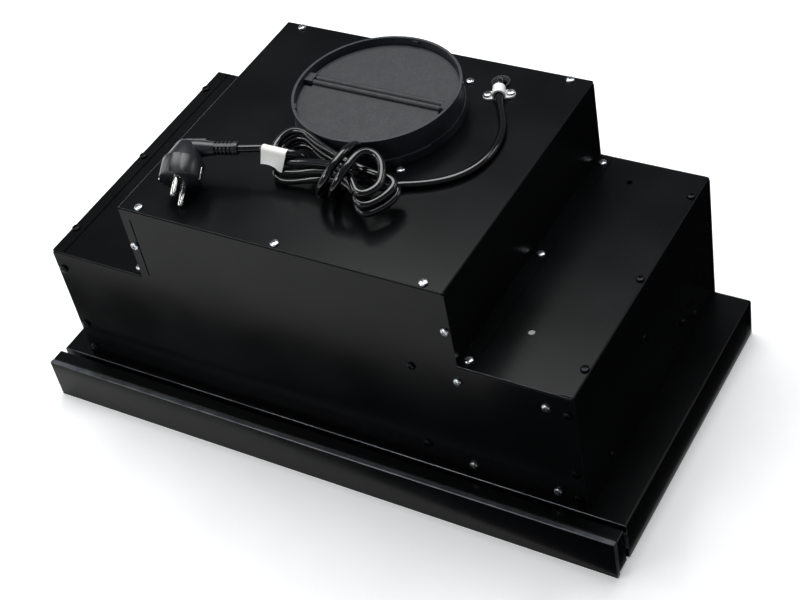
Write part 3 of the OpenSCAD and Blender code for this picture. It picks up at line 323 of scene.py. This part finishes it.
# Red moulded acetal of the switch plunger
red_acetal = surface("red_acetal", "#7d2015", "#8d281b", 5, (0.25, 0.32), 0.8, 0.004, IOR=1.48)

# Moulded PVC of the plug: dark grey sheen, a touch rubbery
plug_vinyl = surface("moulded_pvc", "#1a1c1e", "#232528", 14, (0.26, 0.34), 0.8, 0.012, IOR=1.5)

# Extruded PVC of the cable's jacket: gloss black, with faint flow marks
cable_vinyl = surface("extruded_pvc", "#08080a", "#0c0c0e", 30, (0.1, 0.15), 2.5, 0.004, IOR=1.6)

# Nickel on the plug's brass pins: bright mirror with fine handling marks
nickel_plate = surface("nickel_plate", "#c9c8c4", "#e2e1de", 5, (0.14, 0.24), 0.7, 0.003,
                       Metallic=1.0)


def flap_plastic():
    """Moulded plastic of the flaps: a coarse spark-eroded grain of about 2 mm, dusty grey."""
    material, tree, place = blank("spark_grained_plastic")
    clumps = grain(tree, place, 9, 4.0, 0.6)
    pits = grain(tree, place, 2.2, 3.0, 0.7)
    tone = two_tone(tree, pits, "#191c1e", "#303437")
    cloudy = add(tree, "ShaderNodeMix", {
        0: between(tree, clumps, 0.0, 0.6), 6: tone, 7: colour("#24282a")}, data_type="RGBA")
    close(tree, add(tree, "ShaderNodeBsdfPrincipled", {
        "Base Color": cloudy.outputs[2], "Roughness": between(tree, clumps, 0.5, 0.62),
        "Normal": raised(tree, pits, 0.35, 0.7), "IOR": 1.48}))
    return material


def label_stock():
    """Coated white flag label, a little creased and scuffed."""
    material, tree, place = blank("label_stock")
    fibre = grain(tree, place, 1.5, 4.0)
    crease = grain(tree, place, 7, 1.0)
    close(tree, add(tree, "ShaderNodeBsdfPrincipled", {
        "Base Color": two_tone(tree, fibre, "#f1f0ed", "#faf9f6"), "Roughness": 0.55,
        "Normal": raised(tree, crease, 0.6, 0.5), "IOR": 1.45}))
    return material


def lamp_glass():
    """Frosted pressed glass of the lamps' lenses."""
    material, tree, place = blank("frosted_glass")
    pebbles = add(tree, "ShaderNodeTexVoronoi", {"Vector": place, "Scale": 450.0})
    close(tree, add(tree, "ShaderNodeBsdfPrincipled", {
        "Base Color": two_tone(tree, grain(tree, place, 12), "#dcdcd6", "#e9e9e4"),
        "Roughness": 0.35, "Transmission Weight": 0.6, "IOR": 1.5,
        "Normal": raised(tree, pebbles.outputs["Distance"], 0.3, 0.5)}))
    return material


grained_flap = flap_plastic()
label_paper = label_stock()
frosted_glass = lamp_glass()

FINISHES = {
    "black_powder_coat": powder_coat, "front_plate": front_enamel, "collar_plastic": moulded_abs,
    "flap_plastic": grained_flap, "bright_steel": drawn_steel, "grommet_rubber": moulded_rubber,
    "white_nylon": natural_nylon, "zinc_plated_steel": zinc_plate,
    "black_screw_steel": black_zinc, "filter_aluminium": pressed_aluminium,
    "inner_plastic": inner_plastic, "lamp_glass": frosted_glass, "plunger_plastic": red_acetal,
    "galvanised_steel": galvanised, "motor_steel": lacquered_steel,
    "capacitor_can": pressed_aluminium, "cable_pvc": cable_vinyl, "label_paper": label_paper,
    "plug_pvc": plug_vinyl, "nickel_plated_brass": nickel_plate}

slot_of = {part["node"]: part["material_slot"] for part in frame["record"]["subparts"]}
for node_name, node_object in cad.items():
    node_object.data.materials.clear()
    node_object.data.materials.append(FINISHES[slot_of[node_name]])


# Modelling helpers
def finished(name, shape, materials, smooth_below, body, stands_for):
    """Turns a bmesh into a piece at the origin, smooth where its faces meet at a low angle."""
    limit = math.radians(smooth_below)
    for face in shape.faces:
        face.smooth = True
    for edge in shape.edges:
        edge.smooth = len(edge.link_faces) == 2 and edge.calc_face_angle(0) < limit
    mesh = bpy.data.meshes.new(name)
    shape.to_mesh(mesh)
    shape.free()
    for material in materials:
        mesh.materials.append(material)
    piece = bpy.data.objects.new(name, mesh)
    scene.collection.objects.link(piece)
    dress(piece, body, stands_for)
    return piece


def dress(piece, body, stands_for):
    """Tells the frame which body a piece rides on and which nodes it stands for."""
    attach(piece, body)
    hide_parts(*stands_for)


def turned(shape, outline, steps=48):
    """Spins an outline of (radius, height) points round Z; gives back the new points."""
    before = set(shape.verts)
    points = [shape.verts.new((r, 0, z)) for r, z in outline]
    edges = [shape.edges.new(pair) for pair in zip(points, points[1:])]
    bmesh.ops.spin(shape, geom=points + edges, axis=(0, 0, 1), cent=(0, 0, 0),
                   angle=2 * math.pi, steps=steps, use_merge=True)
    bmesh.ops.remove_doubles(shape, verts=[v for v in shape.verts if v not in before],
                             dist=1e-6)
    return [v for v in shape.verts if v not in before]


def upright(shape):
    """Points all faces outwards."""
    bmesh.ops.recalc_face_normals(shape, faces=shape.faces)
    return shape


def slab(shape, low, high):
    """Box between two corners; gives back its vertices."""
    low, high = Vector(low), Vector(high)
    place = Matrix.Translation((low + high) / 2) @ Matrix.Diagonal((*(high - low), 1))
    return bmesh.ops.create_cube(shape, size=1, matrix=place)["verts"]


def ease_edges(shape, width, segments=2, above=30, finish=-1):
    """Breaks every edge that is sharper than an angle; the new faces may take a finish of
    their own, by its number."""
    limit = math.radians(above)
    sharp = [e for e in shape.edges if len(e.link_faces) == 2 and e.calc_face_angle(0) > limit]
    bmesh.ops.bevel(shape, geom=sharp, offset=width, affect="EDGES", segments=segments,
                    profile=0.5, material=finish, clamp_overlap=True)


def cut_away(piece, cutter):
    """Takes one closed shape out of a piece for good, and removes the cutter."""
    tool_mesh = bpy.data.meshes.new("cutter")
    cutter.to_mesh(tool_mesh)
    cutter.free()
    tool = bpy.data.objects.new("cutter", tool_mesh)
    scene.collection.objects.link(tool)
    cut = piece.modifiers.new("cut", "BOOLEAN")
    cut.object = tool
    cut.solver = "EXACT"
    bpy.context.view_layer.update()
    carved = bpy.data.meshes.new_from_object(
        piece.evaluated_get(bpy.context.evaluated_depsgraph_get()))
    piece.modifiers.remove(cut)
    old = piece.data
    piece.data = carved
    bpy.data.meshes.remove(old)
    bpy.data.objects.remove(tool)
    bpy.data.meshes.remove(tool_mesh)
    return piece


# Screws
HEAD_R = 4.0 * MM
HEAD_H = 2.4 * MM


def screw_head():
    """Pan head with a rounded rim and a cross recess, its seat at z = 0, as a mesh."""
    shape = bmesh.new()
    turned(shape, [(0, 0), (HEAD_R, 0), (HEAD_R, HEAD_H * 0.35), (HEAD_R * 0.96, HEAD_H * 0.6),
                   (HEAD_R * 0.82, HEAD_H * 0.83), (HEAD_R * 0.5, HEAD_H * 0.97), (0, HEAD_H)],
           steps=24)
    mesh = bpy.data.meshes.new("screw_head")
    upright(shape).to_mesh(mesh)
    shape.free()
    head = bpy.data.objects.new("screw_head", mesh)
    scene.collection.objects.link(head)
    cross = bmesh.new()
    for turn in (0, math.pi / 2):
        arm = slab(cross, (-HEAD_R * 0.55, -HEAD_R * 0.13, HEAD_H * 0.4),
                   (HEAD_R * 0.55, HEAD_R * 0.13, HEAD_H * 1.2))
        bmesh.ops.rotate(cross, verts=arm, matrix=Matrix.Rotation(turn, 3, "Z"))
        head = cut_away(head, cross)
        cross = bmesh.new()
    cross.free()
    made = head.data.copy()
    bpy.data.objects.remove(head)
    return made


head_mesh = screw_head()


def screws(name, places, material, stands_for, body="casing"):
    """One piece of several screw heads; each place is a point and the direction it faces."""
    shape = bmesh.new()
    for number, (point, facing) in enumerate(places):
        start = len(shape.verts)
        shape.from_mesh(head_mesh)
        shape.verts.ensure_lookup_table()
        turn = Vector(facing).to_track_quat("Z", "Y").to_matrix().to_4x4()
        twist = Matrix.Rotation(0.7 * number, 4, "Z")
        bmesh.ops.transform(shape, verts=shape.verts[start:],
                            matrix=Matrix.Translation(Vector(point) * MM) @ turn @ twist)
    return finished(name, shape, [material], 30, body, stands_for)


UP = (0, 0, 1)
FORWARD = (0, -1, 0)
SIDES = (-1, 1)

# Screws on the tower's top: along its front and back edges and round the collar
top_places = [(-140, -123), (0, -123), (140, -123), (-140, 149), (140, 149)]
top_places += [(x, y) for x in (-55, 55) for y in (-7, 121)]
screws("tower_top_screws", [((x, y, TOWER_TOP), UP) for x, y in top_places], zinc_plate,
       ["top_screws"])

# Screws of the tower's flanges on the shoulders
FLANGE_X = 167
screws("cover_flange_screws", [((side * FLANGE_X, y, FLANGE_TOP), UP) for side in SIDES
                               for y in (-120, 14, 141.5)], zinc_plate, ["shoulder_screws"])

# Bright screws on the front panel
bright_places = ((-155, 219), (155, 219), (158, 58), (158, 162), (238, 58), (238, 162))
screws("front_panel_screws", [((x, BODY_FRONT, z), FORWARD) for x, z in bright_places],
       zinc_plate, ["front_screws"])

# Screws in the feet of the cable clamp
CLAMP_AT = (89.7, 110.3)
CLAMP_FOOT_TOP = 265
CLAMP_REACH = 10.2
clamp_turn = math.radians(25)
screws("cable_clamp_screws", [((CLAMP_AT[0] + side * CLAMP_REACH * math.cos(clamp_turn),
                                CLAMP_AT[1] + side * CLAMP_REACH * math.sin(clamp_turn),
                                CLAMP_FOOT_TOP), UP)
                              for side in SIDES], zinc_plate, ["clamp_screws"])

# Black screws: on the shoulders' outer edges, the front panel and the side panels
dark_places = [((side * 259, y, FLANGE_TOP), UP) for side in SIDES for y in (-96, 14, 124)]
dark_places += [((side * 257, BODY_FRONT, z), FORWARD) for side in SIDES for z in (57, 88, 160)]
dark_places += [((114.5, BODY_FRONT, z), FORWARD) for z in (69, 165)]
dark_places += [((side * HALF_BODY, y, z), (side, 0, 0)) for side in SIDES
                for y, z in ((-77.5, 60.5), (-0.5, 126.5), (78.5, 72), (104, 59))]
screws("edge_screws", dark_places, black_zinc, ["black_screws"])


# Front plate: enamelled face, with a painted highlight on the chamfers all round
def front_plate():
    """Plate with a chamfer round both faces; only the faces themselves are enamelled, the chamfers
    take a painted highlight.
    """
    shape = bmesh.new()
    slab(shape, PLATE_LOW, PLATE_HIGH)
    ease_edges(shape, PLATE_EDGE, 1)
    for face in shape.faces:
        face.material_index = 0 if abs(face.normal.y) > 0.99 else 1
    finished("front_plate", shape, [front_enamel, painted_highlight_chamfer], 20, "tray", ["fascia_plate"])


front_plate()


# Pieces with their edges broken
def broken_edges(node, width, material, body="casing", edge=None):
    """Copy of a CAD node whose sharp edges are broken, so that they catch the light: rounded, or
    chamfered where the edge has a finish of its own, a painted highlight in a light steel grey."""
    shape = bmesh.new()
    shape.from_mesh(cad[node].data)
    bmesh.ops.remove_doubles(shape, verts=shape.verts, dist=0.00002)
    bmesh.ops.dissolve_limit(shape, angle_limit=0.01, verts=shape.verts, edges=shape.edges)
    if edge:
        ease_edges(shape, width, 1, 40, 1)
    else:
        ease_edges(shape, width, 2, 40)
    piece = finished(node + "_eased", shape, [material, edge] if edge else [material], 30, body,
                     [node])
    flat = piece.modifiers.new("flat_faces", "WEIGHTED_NORMAL")
    flat.keep_sharp = True


# Plug, in its own frame: pins along +Z from its face, cable out along +X
PLUG_R = 18.75
PLUG_FACE = (-107.8, -98)
NECK_Z = -32.5
PIN_R = 2.4
PIN_LENGTH = 19
PIN_OFFSET = 9.5
plug_turn = math.radians(18)

# It lies on its rim and on the tip of its lower pin
plug_tilt = math.atan((PLUG_R - PIN_OFFSET - PIN_R) / PIN_LENGTH)
plug_height = TOWER_TOP + PLUG_R * math.cos(plug_tilt)
plug_place = (Matrix.Translation(Vector((*PLUG_FACE, plug_height)) * MM)
              @ Matrix.Rotation(plug_turn, 4, "Z")
              @ Matrix.Rotation(math.pi / 2 + plug_tilt, 4, "X"))


def seat_plug(shape):
    """Brings a shape in the plug's millimetres to its place on the tower."""
    bmesh.ops.scale(shape, vec=(MM, MM, MM), verts=shape.verts)
    bmesh.ops.transform(shape, matrix=plug_place, verts=shape.verts)
    return shape


def along_neck(shape, outline, steps=32):
    """Outline spun about the cable's axis through the plug's neck, in plug millimetres."""
    made = turned(shape, outline, steps)
    place = Matrix.Translation((0, 0, NECK_Z)) @ Matrix.Rotation(math.pi / 2, 4, "Y")
    bmesh.ops.transform(shape, matrix=place, verts=made)


def eased_box(shape, low, high, width, segments=2):
    """Box with rounded edges, added to a shape."""
    box = bmesh.new()
    slab(box, low, high)
    ease_edges(box, width, segments)
    mesh = bpy.data.meshes.new("box")
    box.to_mesh(mesh)
    box.free()
    shape.from_mesh(mesh)
    bpy.data.meshes.remove(mesh)


def plug_shell():
    """Round body with a tapered back, guide grooves on both sides and seats for the clips."""
    shape = bmesh.new()
    turned(shape, [(0, 0), (PLUG_R - 1.2, 0), (PLUG_R - 0.3, -0.4), (PLUG_R, -1.3),
                   (PLUG_R - 0.3, -17.6), (PLUG_R - 0.8, -18.7), (PLUG_R - 2, -19.4),
                   (9.6, -35.6), (8.9, -36.4), (7.6, -36.8), (0, -36.8)], steps=64)
    upright(shape)
    mesh = bpy.data.meshes.new("plug_shell")
    shape.to_mesh(mesh)
    shape.free()
    shell = bpy.data.objects.new("plug_shell", mesh)
    scene.collection.objects.link(shell)
    for side in SIDES:
        groove = bmesh.new()
        groove_y = side * (PLUG_R + 1)
        slab(groove, (-3.8, groove_y - 2.4, -24), (3.8, groove_y + 2.4, 2))
        cut_away(shell, groove)
        seat = bmesh.new()
        slab(seat, (side * PLUG_R - 1.3, -4.05, -12.1), (side * PLUG_R + 1.3, 4.05, 1))
        cut_away(shell, seat)
    return shell


def make_plug():
    """Shell with its cable outlet, grip bar and a strain relief of rings on two spines."""
    shell = plug_shell()
    shape = bmesh.new()
    shape.from_mesh(shell.data)
    bpy.data.objects.remove(shell)
    ease_edges(shape, 0.3, 2, 50)
    along_neck(shape, [(0, 0), (8.4, 0), (7.6, 14), (6.6, 20), (6.2, 25.4), (5.9, 25.9),
                       (0, 25.9)])
    for ring in range(4):
        base = 27.5 + 3.5 * ring
        along_neck(shape, [(0, base), (5.6, base), (5.9, base + 0.3), (5.9, base + 1.5),
                           (5.6, base + 1.8), (0, base + 1.8)])
    along_neck(shape, [(0, 41.6), (5.6, 41.6), (5.9, 42), (5.8, 45.6), (5.3, 46.4), (0, 46.4)])
    along_neck(shape, [(0, 24), (4.4, 24), (4.4, 44), (0, 44)], 24)
    for side in SIDES:
        slab(shape, (24, side * 4.9 - 1, NECK_Z - 1.5), (44, side * 4.9 + 1, NECK_Z + 1.5))
    upright(shape)
    eased_box(shape, (-7, -2.5, -41.5), (17, 2.5, -38.6), 1.1, 3)
    eased_box(shape, (-4, -1.7, -39.5), (14.5, 1.7, -35), 0.3)
    return finished("plug", seat_plug(shape), [plug_vinyl], 35, "casing", ["plug_body"])


def make_pins():
    """Two solid pins with rounded tips."""
    shape = bmesh.new()
    for side in SIDES:
        pin = turned(shape, [(0, 0.1), (3.1, 0.1), (3.1, 0.5), (PIN_R, 0.7), (PIN_R, 17),
                             (2.2, 18.1), (1.5, 18.8), (0, PIN_LENGTH)], steps=24)
        bmesh.ops.translate(shape, verts=pin, vec=(0, side * PIN_OFFSET, 0))
    upright(shape)
    return finished("plug_contacts", seat_plug(shape), [nickel_plate], 35, "casing",
                    ["plug_pins"])


plug = make_plug()
contacts = make_pins()


# Blank flag label, in millimetres: where it starts on the cable and how it hangs
LABEL_START = (-52, -47.4, 291.7)
LABEL_WIDTH = 25
LABEL_HANG = 12.8
LABEL_HOLLOW = 1.2
LABEL_POINT = 3.4
LABEL_BACK = 5
CORNER_FROM = 0.65
FOLD_FROM, FOLD_TO = 0.6, 0.8


def hang_at(along):
    """Length of the label's front: a little hollow, then longest at its right corner."""
    if along < CORNER_FROM:
        return LABEL_HANG - LABEL_HOLLOW * math.sin(math.pi * along / CORNER_FROM)
    return LABEL_HANG + LABEL_POINT * math.sin(
        math.pi / 2 * (along - CORNER_FROM) / (1 - CORNER_FROM))


def flag_label():
    """Tag folded over the cable: its front hangs down and curls, its back is short."""
    shape = bmesh.new()
    grid = bmesh.ops.create_grid(shape, x_segments=18, y_segments=24, size=1)["verts"]
    lean = math.radians(22)
    down = Vector((0, -math.sin(lean), -math.cos(lean)))
    front = Vector((0, -math.cos(lean), math.sin(lean)))
    wrap = CABLE_RADIUS / MM + 0.45
    for vert in grid:
        along = (vert.co.x + 1) / 2
        around = (vert.co.y + 1) / 2
        middle = Vector(LABEL_START) + Vector((LABEL_WIDTH * along, 0, 0))
        if around < FOLD_FROM:
            drop = 1 - around / FOLD_FROM
            tuck = Vector((-3.5 * along ** 2, 0, 0)) * drop
            curl = 1.2 * math.sin(2.6 * along + 0.4) * drop ** 2
            point = middle + front * (wrap + curl) + down * hang_at(along) * drop + tuck
        elif around < FOLD_TO:
            angle = math.pi * (around - FOLD_FROM) / (FOLD_TO - FOLD_FROM)
            point = middle + front * wrap * math.cos(angle) - down * wrap * math.sin(angle)
        else:
            point = middle - front * wrap + down * LABEL_BACK * (around - FOLD_TO) / (1 - FOLD_TO)
        vert.co = point * MM
    upright(shape)
    piece = finished("blank_label", shape, [label_paper], 60, "casing", ["cable_label"])
    wall = piece.modifiers.new("thickness", "SOLIDIFY")
    wall.thickness = 0.0003
    return piece


label = flag_label()

dress(cable, "casing", ["cord_lead", "cord_hank", "cord_tail"])
cable.data.materials.append(cable_vinyl)


# Moulded pieces, with their edges rounded
for node_name, width, material in (
        ("duct_collar", 0.0005, moulded_abs), ("cable_clamp", 0.0007, natural_nylon),
        ("cable_grommet", 0.0006, moulded_rubber)):
    broken_edges(node_name, width, material)

# Sheets of the casing and the front beam, with chamfers that carry a painted highlight
for node_name in ("tower_cover", "front_beam", "base_frame", "front_panel", "rear_panel",
                  "shoulder_plate_left", "shoulder_plate_right", "side_panel_left",
                  "side_panel_right"):
    rides_on = "tray" if node_name == "front_beam" else "casing"
    broken_edges(node_name, SHEET_EDGE, powder_coat, rides_on, painted_edge_highlight)


# Studio: white paper floor, dark cards beside the hood that put painted shade into its
# reflections, and a large soft panel overhead
FLOOR_LIFT = 0.28
FLOOR_RADIUS = 9

# Cards on the floor in metres, as left, front, right and back
CARDS = ((-0.5, -0.262, 0.5, -0.182), (0.1, -0.5, 1.2, -0.262),
         (0.301, -0.19, 1.2, 1.0), (0, 0.16, 0.301, 1.0))
CARD_LOW, CARD_HIGH = 0.0005, 0.0015


def paper():
    """White background paper: matt, faintly mottled, and lifted a little to white."""
    material, tree, place = blank("background_paper")
    tone = two_tone(tree, grain(tree, place, 40), "#f4f4f4", "#f7f7f7")
    matt = add(tree, "ShaderNodeBsdfDiffuse", {"Color": tone})
    rays = add(tree, "ShaderNodeLightPath").outputs
    seen = add(tree, "ShaderNodeMath", {0: rays["Is Camera Ray"], 1: rays["Is Glossy Ray"]},
               operation="ADD")
    seen = add(tree, "ShaderNodeMath", {
        0: seen.outputs["Value"], 1: rays["Is Transmission Ray"]}, operation="ADD")
    lift = add(tree, "ShaderNodeMath", {0: seen.outputs["Value"], 1: FLOOR_LIFT},
               operation="MULTIPLY")
    glow = add(tree, "ShaderNodeEmission", {"Strength": lift.outputs["Value"]})
    both = add(tree, "ShaderNodeAddShader", {})
    tree.links.new(matt.outputs["BSDF"], both.inputs[0])
    tree.links.new(glow.outputs["Emission"], both.inputs[1])
    add(tree, "ShaderNodeOutputMaterial", {"Surface": both.outputs["Shader"]})
    return material


def staged(name, shape, material):
    """Turns a bmesh into a thing of the studio."""
    mesh = bpy.data.meshes.new(name)
    shape.to_mesh(mesh)
    shape.free()
    mesh.materials.append(material)
    piece = bpy.data.objects.new(name, mesh)
    scene.collection.objects.link(piece)
    return piece


def lay_floor():
    shape = bmesh.new()
    bmesh.ops.create_circle(shape, cap_ends=True, segments=96, radius=FLOOR_RADIUS)
    staged("floor", shape, paper())


def painted_shade_card():
    """Near-black of the cards, painted shade that the hood mirrors where its shadowed floor would
    be: matt, with a faint mottle like a short nap.
    """
    material, tree, place = blank("painted_shade_black")
    nap = grain(tree, place, 2)
    close(tree, add(tree, "ShaderNodeBsdfDiffuse", {
        "Color": two_tone(tree, nap, "#050505", "#090909")}))
    return material


def lay_cards():
    """Black cards beside the hood, seen only in reflections: painted shade that its dark sides
    mirror where the floor lies in its shadow.
    A last card in front of the front plate narrows to the left, so that the plate darkens to the
    right."""
    shape = bmesh.new()
    for left, front, right, back in CARDS:
        slab(shape, (left, front, CARD_LOW), (right, back, CARD_HIGH))
    for corner in slab(shape, (-0.25, -0.192, CARD_LOW), (0.301, -0.157, CARD_HIGH)):
        if corner.co.x < 0 and corner.co.y > -0.17:
            corner.co.y = -0.19
    cards = staged("reflected_shade_cards", shape, painted_shade_card())
    cards.visible_camera = False
    cards.visible_diffuse = False
    cards.visible_shadow = False
    cards.visible_transmission = False


def soft_lamp(name, place, aim, width, height, radiance):
    """Rectangular soft box of an even radiance."""
    data = bpy.data.lights.new(name, "AREA")
    data.shape = "RECTANGLE"
    data.size = width
    data.size_y = height
    data.energy = radiance * math.pi * width * height
    lamp = bpy.data.objects.new(name, data)
    scene.collection.objects.link(lamp)
    place, aim = Vector(place), Vector(aim)
    lamp.matrix_world = (Matrix.Translation(place)
                         @ (place - aim).to_track_quat("Z", "Y").to_matrix().to_4x4())


lay_floor()
lay_cards()
hood = (0, 0, 0.15)
soft_lamp("overhead_panel", (-0.3, 0.58, 1.75), (-0.3, 0.58, 0), 1.5, 1.24, 5.7)
soft_lamp("left_panel", (-1.9, -0.2, 0.75), hood, 1.2, 0.9, 2.0)
soft_lamp("front_strip", (-0.9, -1.4, 1.4), hood, 0.9, 0.35, 9.0)
soft_lamp("key_strip", (-1.2, -0.55, 1.35), hood, 0.6, 0.09, 16.0)
soft_lamp("right_strip", (1.4, 1.2, 1.15), hood, 0.7, 0.3, 5.0)

world = bpy.data.worlds.new("studio_air")
scene.world = world
world.use_nodes = True
air = world.node_tree.nodes["Background"].inputs
air["Color"].default_value = (0.86, 0.92, 1.0, 1)
air["Strength"].default_value = 0.15
scene.view_settings.view_transform = "Standard"
